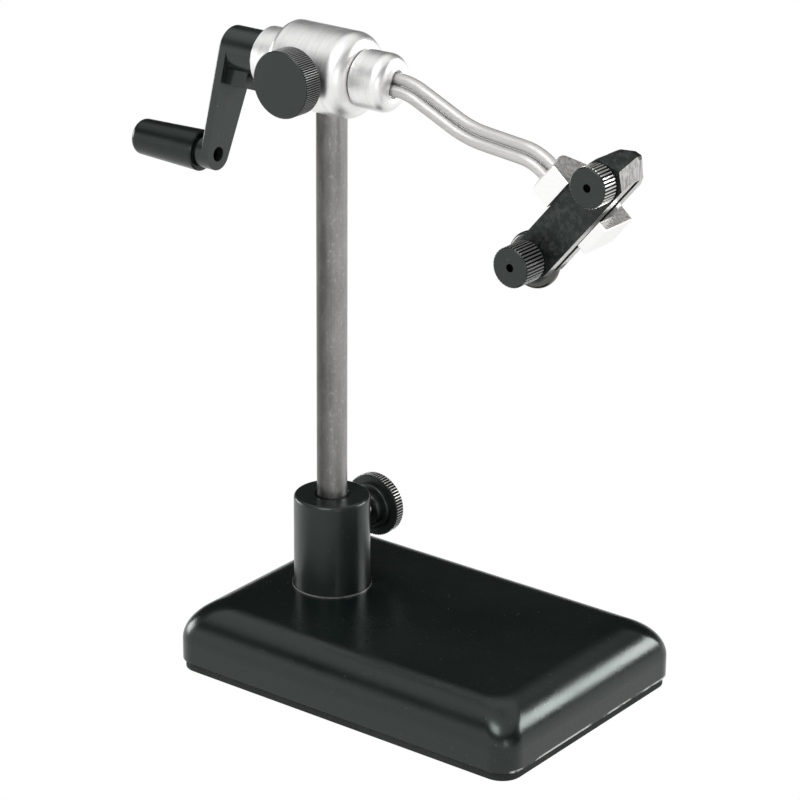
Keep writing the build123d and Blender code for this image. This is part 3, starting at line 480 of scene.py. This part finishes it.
def jaw_steel(finishes):
    """Blackened plates, mottled, with bare lower sides, a brushed lower nose facet and a painted highlight
    ring on the tail pad.
    """
    finish = Finish("blackened_steel")
    middle = node_box("front_stud")[2]
    jaw_way = (math.cos(JAW_LEAN), 0.0, math.sin(JAW_LEAN))
    lower_side = (math.sin(JAW_LEAN), 0.0, -math.cos(JAW_LEAN))
    seen = finish.moved(tuple(middle))
    mottle = finish.grain(seen, 620.0, 5.0, 0.7)
    cloud = finish.grain(seen, 120.0, 4.0, 0.6)
    ground_way = finish.moved(tuple(middle), (0.0, JAW_LEAN, 0.0), (1.0, 1.0, 0.05))
    grinding = finish.grain(ground_way, 2300.0, 3.0, 0.6)
    low_side = finish.ramp(finish.facing_share(lower_side), 0.12, 0.28)
    off_tip = finish.ramp(finish.facing_share(jaw_way), 0.85, 0.7)
    off_tail = finish.ramp(finish.along(seen, jaw_way), -0.0345, -0.0325)
    bare = finish.times(finish.times(low_side, off_tip), off_tail)
    rubbed = finish.times(bare, finish.ramp(mottle, 0.28, 0.5, 0.7, 1.0))
    near_facing = finish.ramp(finish.facing_share(tuple(-ALONG_Y)), 0.1, 0.3)
    bright = finish.mix(near_facing, opaque(finishes.ground_steel), opaque(finishes.nose_steel))
    pale = finish.mix(finish.ramp(grinding, 0.3, 0.65, 0.45, 1.0), opaque(finishes.jaw_black), bright)
    # Painted highlight: a ring of lighter, glossier steel on the tail pad's near face stands in for the
    # highlight of a rounded ring
    pad_along = finish.calc("ADD", finish.along(seen, jaw_way), TAIL_PAD[0])
    pad_across = finish.calc("ADD", finish.along(seen, lower_side), TAIL_PAD[1])
    pad_radius = finish.length(pad_along, pad_across, 0.0)
    pad_rim_highlight = finish.times(finish.ramp(pad_radius, 0.0062, 0.007), finish.ramp(pad_radius, 0.0089, 0.0088))
    pad_rim_highlight = finish.times(pad_rim_highlight, finish.ramp(finish.split(finish.place)[1], 0.0, 0.001))
    pad_rim_highlight = finish.times(pad_rim_highlight, finish.ramp(pad_along, 0.006, 0.005))
    spots = finish.ramp(mottle, 0.46, 0.74, 0.0, 0.22)
    dark = finish.mix(spots, opaque(finishes.jaw_black), opaque(finishes.dust))
    colour = finish.mix(pad_rim_highlight, finish.mix(rubbed, dark, pale), opaque(finishes.pad_highlight_steel))
    metal = finish.calc("MAXIMUM", rubbed, pad_rim_highlight)
    rough = finish.mix_number(metal, finish.spread(cloud, 0.32, 0.46), finish.mix_number(pad_rim_highlight, 0.3, 0.2))
    shine = finish.ramp(finish.facing_share(tuple(ALONG_Z)), 0.1, 0.4, 0.32, 0.12)
    normal = finish.relief(finish.mix_number(rubbed, mottle, grinding), 0.12, FINE_DEPTH)
    return finish.done(Base_Color=colour, Metallic=metal, Roughness=rough, Specular_IOR_Level=shine,
                       Specular_Tint=finish.sheen(metal), Normal=normal)


def plain_metal(name, bright):
    """Plain metal with fine tool marks and a cloudy polish."""
    finish = Finish(name)
    marks = finish.grain(finish.place, 2100.0, 3.0, 0.6)
    cloud = finish.grain(finish.place, 260.0, 4.0, 0.6)
    shade = darker(bright, 0.7)
    colour = finish.mix(finish.spread(cloud), opaque(shade), opaque(bright))
    rough = finish.spread(marks, 0.24, 0.38)
    normal = finish.relief(marks, 0.1, FINE_DEPTH)
    return finish.done(Base_Color=colour, Metallic=1.0, Roughness=rough, Normal=normal)


def nylon_plug(finishes):
    """Cloudy nylon."""
    finish = Finish("nylon")
    cloud = finish.grain(finish.place, 420.0, 3.0)
    shade = darker(finishes.nylon, 0.8)
    colour = finish.mix(finish.spread(cloud), opaque(shade), opaque(finishes.nylon))
    rough = finish.spread(cloud, 0.35, 0.5)
    return finish.done(Base_Color=colour, Roughness=rough, Normal=finish.relief(cloud, 0.08, FINE_DEPTH))


# Threaded studs


def threaded_stud(name, start, direction, radius, length, pitch, threads):
    """Stud with V-shaped thread rings, closed at both ends."""
    depth = pitch * threads.depth_share
    sideways = direction.orthogonal().normalized()
    turns = round(length / pitch)
    step = length / turns
    profile = [(0.0, 0.0), (0.0, radius - depth)]
    for turn in range(turns):
        profile.append(((turn + 0.5) * step, radius))
        profile.append(((turn + 1.0) * step, radius - depth))
    profile.append((length, 0.0))
    mesh = bmesh.new()
    corners = [mesh.verts.new(start + direction * along + sideways * out) for along, out in profile]
    edges = [mesh.edges.new(pair) for pair in zip(corners, corners[1:])]
    bmesh.ops.spin(mesh, geom=corners + edges, cent=start, axis=direction, dvec=(0.0, 0.0, 0.0),
                   angle=math.tau, steps=threads.around, use_merge=True)
    bmesh.ops.remove_doubles(mesh, verts=mesh.verts, dist=pitch / 1000.0)
    bmesh.ops.recalc_face_normals(mesh, faces=mesh.faces)
    return finished_piece(name, mesh)


def finished_piece(name, mesh):
    """Object of a finished bmesh, at the origin."""
    data = bpy.data.meshes.new(name)
    mesh.to_mesh(data)
    mesh.free()
    piece = bpy.data.objects.new(name, data)
    bpy.context.scene.collection.objects.link(piece)
    return piece


# Operators


class ViseOperator(bpy.types.Operator):
    """Base of the operators that dress one group of pieces."""

    bl_options = {"REGISTER", "UNDO"}

    def execute(self, context):
        self.build(context.scene)
        return {"FINISHED"}


class VISE_OT_base(ViseOperator):
    """Paint the base and give its pad a rubber finish"""

    bl_idname = "vise.base"
    bl_label = "Base and pad"

    def build(self, scene):
        dress(base_paint(scene.vise_finishes), "base_casting")
        dress(rubber_sheet(scene.vise_finishes), "base_pad")


class VISE_OT_stand(ViseOperator):
    """Finish the collar and the post"""

    bl_idname = "vise.stand"
    bl_label = "Collar and post"

    def build(self, scene):
        dress(collar_paint(scene.vise_finishes), "collar")
        dress(post_steel(scene.vise_finishes), "post")


class VISE_OT_head(ViseOperator):
    """Finish the turned head with its hub and rear collar"""

    bl_idname = "vise.head"
    bl_label = "Head"

    def build(self, scene):
        dress(turned_aluminium(scene.vise_finishes), "head_housing", "hub", "rear_collar")


# Knobs: node, share of bare metal on the ridges (rubbed wear and painted highlight), radius of the painted
# shade in the middle hole in metres
KNOBS = (
    ("clamp_knob", 0.6, 0.0),
    ("tension_knob", 0.3, 0.0),
    ("front_knob", 0.9, 0.00126),
    ("rear_knob", 0.2, 0.00126),
)


class VISE_OT_knobs(ViseOperator):
    """Finish the knurled knobs"""

    bl_idname = "vise.knobs"
    bl_label = "Knobs"

    def build(self, scene):
        for node, ridge_bare_share, hole_shade_radius in KNOBS:
            dress(knob_black(scene.vise_finishes, node, ridge_bare_share, hole_shade_radius), node)


class VISE_OT_crank(ViseOperator):
    """Finish the crank arm and its grip"""

    bl_idname = "vise.crank"
    bl_label = "Crank"

    def build(self, scene):
        dress(crank_plastic(scene.vise_finishes), "crank_arm", "grip_washer")
        dress(grip_plastic(scene.vise_finishes), "grip")


class VISE_OT_jaws(ViseOperator):
    """Finish the rods, the jaw block and the jaws"""

    bl_idname = "vise.jaws"
    bl_label = "Rods and jaws"

    def build(self, scene):
        dress(rod_steel(scene.vise_finishes), "near_rod", "far_rod")
        dress(milled_aluminium(scene.vise_finishes), "jaw_block")
        dress(jaw_steel(scene.vise_finishes), "near_jaw", "far_jaw")


class VISE_OT_screws(ViseOperator):
    """Finish screws, spindle, bushings and plugs"""

    bl_idname = "vise.screws"
    bl_label = "Screws and inner parts"

    def build(self, scene):
        finishes = scene.vise_finishes
        dress(plain_metal("plain_steel", tuple(finishes.screw_steel)), "collar_screw", "post_screw",
              "spindle", "rotor_set_screws", "rod_set_screws", "crank_screw", "front_stud", "front_washer",
              "rear_screw", "block_screw", "clamp_screw", "tension_screw")
        dress(plain_metal("black_screw", tuple(finishes.knob_black)), "grip_pin")
        dress(plain_metal("bearing_metal", tuple(finishes.brass)), "front_bushing", "rear_bushing",
              "clamp_plug")
        dress(nylon_plug(finishes), "tension_plug")


class VISE_OT_threads(ViseOperator):
    """Model the threads of the clamp stud and the tension stud, which show between knob and body"""

    bl_idname = "vise.threads"
    bl_label = "Threads"

    def build(self, scene):
        threads = scene.vise_threads
        steel = bpy.data.materials["plain_steel"]
        for node, body, sign, pitch in (("clamp_screw", "clamp_knob", 1.0, threads.clamp_pitch),
                                        ("tension_screw", "tension_knob", -1.0, threads.tension_pitch)):
            low, high, middle = node_box(node)
            start = Vector((middle.x, low.y if sign > 0 else high.y, middle.z))
            radius = (high.x - low.x) / 2
            length = high.y - low.y
            stud = threaded_stud(node + "_thread", start, ALONG_Y * sign, radius, length, pitch, threads)
            stud.data.materials.append(steel)
            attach(stud, body)
            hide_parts(node)


class VISE_OT_stage(ViseOperator):
    """Make the floor, the lamps, the world and the camera"""

    bl_idname = "vise.stage"
    bl_label = "Stage"

    def build(self, scene):
        stage = scene.vise_stage
        make_floor(stage)
        make_lamps()
        make_world(scene, stage)
        make_camera(scene, stage)
        scene.view_settings.view_transform = "Standard"


def make_floor(stage):
    """Pale floor that shows plain white to the camera and in reflections, and keeps the object's shadow."""
    mesh = bmesh.new()
    bmesh.ops.create_grid(mesh, x_segments=1, y_segments=1, size=stage.floor_size)
    floor = finished_piece("floor", mesh)
    material = bpy.data.materials.new("pale_floor")
    material.use_nodes = True
    tree = material.node_tree
    tree.nodes.clear()
    output = tree.nodes.new("ShaderNodeOutputMaterial")
    matt = tree.nodes.new("ShaderNodeBsdfDiffuse")
    matt.inputs["Color"].default_value = opaque(stage.floor_colour)
    white = tree.nodes.new("ShaderNodeEmission")
    path = tree.nodes.new("ShaderNodeLightPath")
    seen = path.outputs["Is Camera Ray"]
    for ray in ("Is Glossy Ray", "Is Transmission Ray"):
        either = tree.nodes.new("ShaderNodeMath")
        either.operation = "MAXIMUM"
        tree.links.new(seen, either.inputs[0])
        tree.links.new(path.outputs[ray], either.inputs[1])
        seen = either.outputs[0]
    share = tree.nodes.new("ShaderNodeMath")
    share.operation = "MULTIPLY"
    share.inputs[1].default_value = stage.floor_glow_share
    tree.links.new(seen, share.inputs[0])
    blend = tree.nodes.new("ShaderNodeMixShader")
    tree.links.new(share.outputs[0], blend.inputs[0])
    tree.links.new(matt.outputs[0], blend.inputs[1])
    tree.links.new(white.outputs[0], blend.inputs[2])
    tree.links.new(blend.outputs[0], output.inputs[0])
    floor.data.materials.append(material)


# Soft boxes: name, place, point that it faces, width and height in metres, brightness of its face
SOFT_BOXES = [
    ("rear_box", (0.8, 0.98, 0.48), (0.03, 0.0, 0.03), 0.6, 0.46, 12.5),
    ("left_box", (-1.34, -0.24, 0.25), (-0.06, -0.04, 0.02), 0.7, 0.45, 9.5),
    ("corner_box", (1.0, -0.78, 0.34), (0.06, -0.04, 0.02), 0.25, 0.3, 4.5),
    ("key_box", (0.1, -0.9, 1.25), (-0.02, 0.0, 0.15), 0.6, 0.6, 9.0),
]


def make_lamps():
    """Soft boxes above and round the object."""
    for name, place, target, width, height, brightness in SOFT_BOXES:
        light = bpy.data.lights.new(name, "AREA")
        light.shape = "RECTANGLE"
        light.size = width
        light.size_y = height
        light.energy = brightness * math.pi * width * height
        lamp = bpy.data.objects.new(name, light)
        lamp.location = place
        lamp.rotation_euler = (Vector(target) - Vector(place)).to_track_quat("-Z", "Y").to_euler()
        lamp.visible_camera = False
        bpy.context.scene.collection.objects.link(lamp)


# Soft edges of the room's bright parts, as heights or depths of the direction that is looked in
NEAR_SIDE_EDGE = (0.2, -0.5)
LOW_WALL_EDGE = (0.5, 0.25)
CEILING_EDGE = (0.58, 0.78)


def make_world(scene, stage):
    """Dim room with a bright low wall on the near side and a bright ceiling, and a dark band between them."""
    world = bpy.data.worlds.new("room")
    world.use_nodes = True
    tree = world.node_tree
    axes = tree.nodes.new("ShaderNodeSeparateXYZ")
    tree.links.new(tree.nodes.new("ShaderNodeTexCoord").outputs["Generated"], axes.inputs[0])

    def step(axis, start, end, low, high):
        part = tree.nodes.new("ShaderNodeMapRange")
        part.interpolation_type = "SMOOTHSTEP"
        for key, value in (("From Min", start), ("From Max", end), ("To Min", low), ("To Max", high)):
            part.inputs[key].default_value = value
        tree.links.new(axes.outputs[axis], part.inputs["Value"])
        return part.outputs["Result"]

    def calc(operation, first, second):
        made = tree.nodes.new("ShaderNodeMath")
        made.operation = operation
        tree.links.new(first, made.inputs[0])
        tree.links.new(second, made.inputs[1])
        return made.outputs[0]

    near_side = step("Y", *NEAR_SIDE_EDGE, 0.0, stage.room_low)
    low_wall = calc("MULTIPLY", near_side, step("Z", *LOW_WALL_EDGE, 0.0, 1.0))
    above = step("Z", *CEILING_EDGE, stage.room_dim, stage.room_dim + stage.room_ceiling)
    tree.links.new(calc("ADD", low_wall, above), tree.nodes["Background"].inputs["Strength"])
    tree.nodes["Background"].inputs["Color"].default_value = WHITE
    scene.world = world


def make_camera(scene, stage):
    """Camera at the photograph's place and angle."""
    azimuth = stage.camera_azimuth
    elevation = stage.camera_elevation
    back = Vector((math.sin(azimuth) * math.cos(elevation), -math.cos(azimuth) * math.cos(elevation),
                   math.sin(elevation)))
    right = Vector((math.cos(azimuth), math.sin(azimuth), 0.0))
    up = back.cross(right)
    rolled_right = right * math.cos(stage.camera_roll) + up * math.sin(stage.camera_roll)
    rolled_up = up * math.cos(stage.camera_roll) - right * math.sin(stage.camera_roll)
    data = bpy.data.cameras.new("camera")
    data.sensor_width = SENSOR_WIDTH
    data.lens = stage.camera_lens
    data.shift_x = stage.camera_shift_x
    data.shift_y = stage.camera_shift_y
    data.clip_start = 0.05
    data.clip_end = 200.0
    camera = bpy.data.objects.new("camera", data)
    turn = Matrix((rolled_right, rolled_up, back)).transposed().to_4x4()
    camera.matrix_world = Matrix.Translation(stage.camera_place) @ turn
    scene.collection.objects.link(camera)
    scene.camera = camera


class VISE_PT_panel(bpy.types.Panel):
    """Sidebar panel that lists the vise's operators and settings"""

    bl_idname = "VISE_PT_panel"
    bl_label = "Fly tying vise"
    bl_space_type = "VIEW_3D"
    bl_region_type = "UI"
    bl_category = "Vise"

    def draw(self, context):
        for operator in OPERATORS:
            self.layout.operator(operator.bl_idname)
        for settings in (context.scene.vise_finishes, context.scene.vise_threads, context.scene.vise_stage):
            box = self.layout.box()
            for key in settings.__annotations__:
                box.prop(settings, key)


OPERATORS = (VISE_OT_base, VISE_OT_stand, VISE_OT_head, VISE_OT_knobs, VISE_OT_crank, VISE_OT_jaws,
             VISE_OT_screws, VISE_OT_threads, VISE_OT_stage)
CLASSES = (ViseFinishes, ViseThreads, ViseStage, *OPERATORS, VISE_PT_panel)


def register():
    """Registers the classes and the scene's settings."""
    for entry in CLASSES:
        bpy.utils.register_class(entry)
    bpy.types.Scene.vise_finishes = PointerProperty(type=ViseFinishes)
    bpy.types.Scene.vise_threads = PointerProperty(type=ViseThreads)
    bpy.types.Scene.vise_stage = PointerProperty(type=ViseStage)


def unregister():
    """Removes the settings and the classes."""
    del bpy.types.Scene.vise_stage
    del bpy.types.Scene.vise_threads
    del bpy.types.Scene.vise_finishes
    for entry in reversed(CLASSES):
        bpy.utils.unregister_class(entry)


def main():
    """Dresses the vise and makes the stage."""
    register()
    for operator in OPERATORS:
        getattr(bpy.ops.vise, operator.bl_idname.split(".")[1])()


if __name__ == "__main__":
    main()
